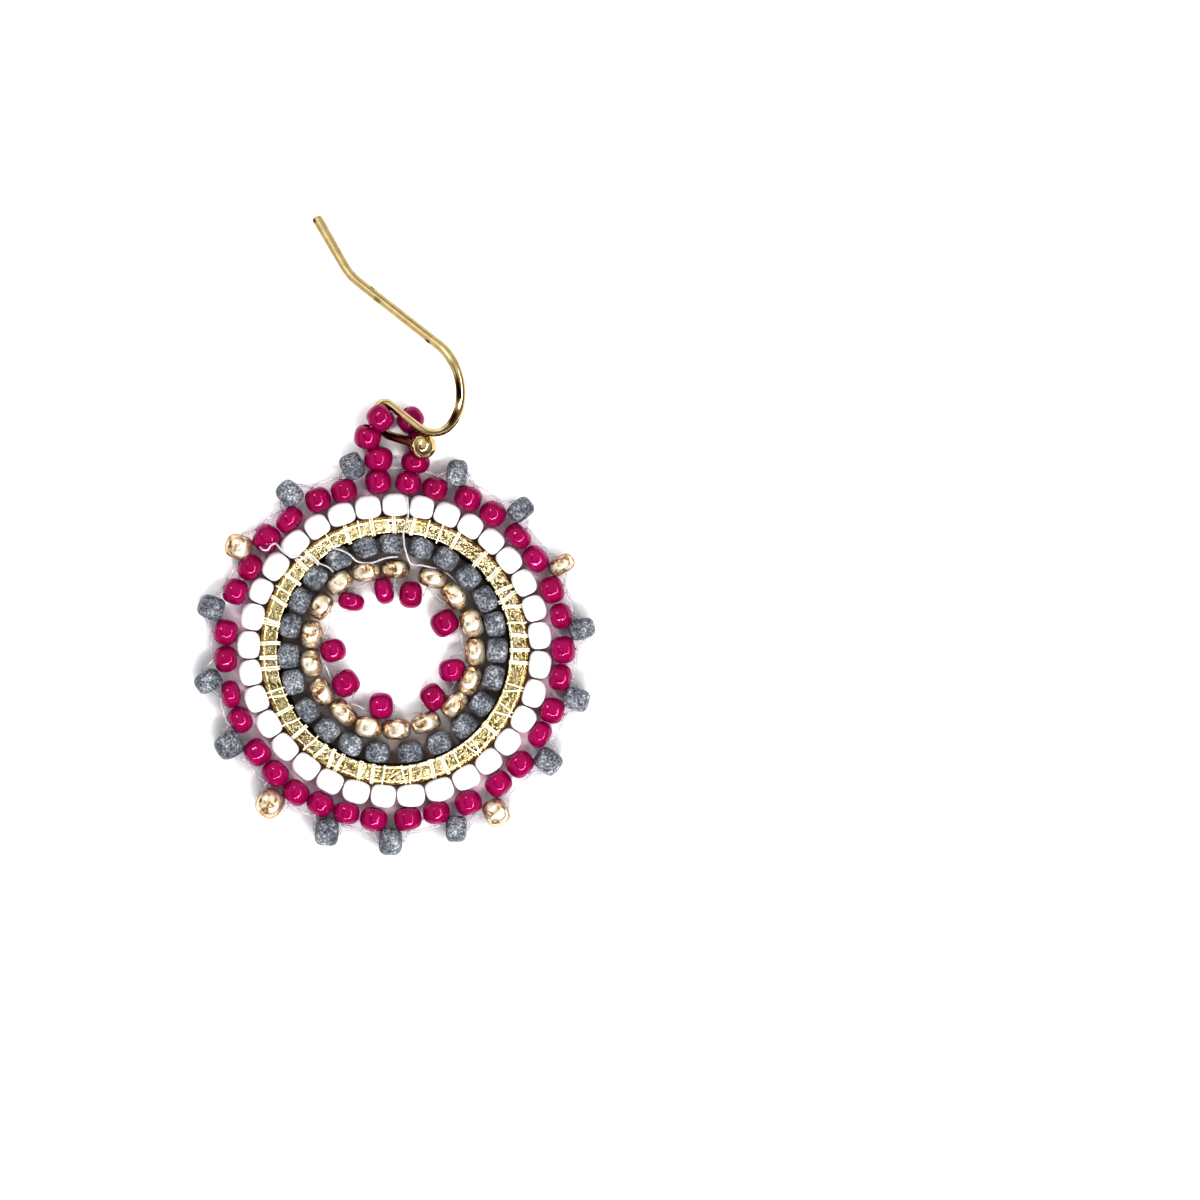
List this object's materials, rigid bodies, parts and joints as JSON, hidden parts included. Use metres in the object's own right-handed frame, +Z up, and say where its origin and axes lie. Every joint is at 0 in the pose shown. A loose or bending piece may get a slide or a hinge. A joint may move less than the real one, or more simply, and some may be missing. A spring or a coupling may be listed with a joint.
{
  "type": "seed bead hoop earring",
  "caption": "Flat beaded hoop earring: a metal hoop with rows of seed beads stitched outside and inside it, edge beads, a beaded bail and a ball-end ear wire.",
  "frame": {"origin": "bottom of the box around the earring, under its middle, on the surface that it lies on", "axes": "+Y from the hoop to the tip of the ear wire, +Z up from the surface, +X to the right as seen from above"},
  "size_m": [0.0322, 0.0512, 0.0076],
  "materials": {
    "foil_gold": "pale gold metal, crinkled between the thread wraps",
    "bead_white": "opaque white glass",
    "bead_magenta": "opaque glossy magenta glass",
    "bead_slate": "matte mottled slate-grey glass",
    "bead_gold": "glass with a galvanised pale rose-gold coat",
    "wire_gold": "polished gold plating",
    "thread": "clear nylon beading thread"
  },
  "bodies": {
    "root": {"hoop": "foil_gold", "white_bead_row": "bead_white", "magenta_bead_row": "bead_magenta", "slate_bead_row": "bead_slate", "gold_bead_row": "bead_gold", "ear_wire": "wire_gold", "outer_picot_01": "bead_slate", "outer_picot_02": "bead_slate", "outer_picot_03": "bead_gold", "outer_picot_04": "bead_slate", "outer_picot_05": "bead_slate", "outer_picot_06": "bead_slate", "outer_picot_07": "bead_gold", "outer_picot_08": "bead_slate", "outer_picot_09": "bead_slate", "outer_picot_10": "bead_slate", "outer_picot_11": "bead_gold", "outer_picot_12": "bead_slate", "outer_picot_13": "bead_slate", "outer_picot_14": "bead_slate", "outer_picot_15": "bead_gold", "outer_picot_16": "bead_slate", "outer_picot_17": "bead_slate", "inner_picot_1": "bead_magenta", "inner_picot_2": "bead_magenta", "inner_picot_3": "bead_magenta", "inner_picot_4": "bead_magenta", "inner_picot_5": "bead_magenta", "inner_picot_6": "bead_magenta", "inner_picot_7": "bead_magenta", "inner_picot_8": "bead_magenta", "inner_picot_9": "bead_magenta", "bail_bead_1": "bead_magenta", "bail_bead_2": "bead_magenta", "bail_bead_3": "bead_magenta", "bail_bead_4": "bead_magenta", "bail_bead_5": "bead_magenta", "bail_bead_6": "bead_magenta"}
  },
  "joints": []
}
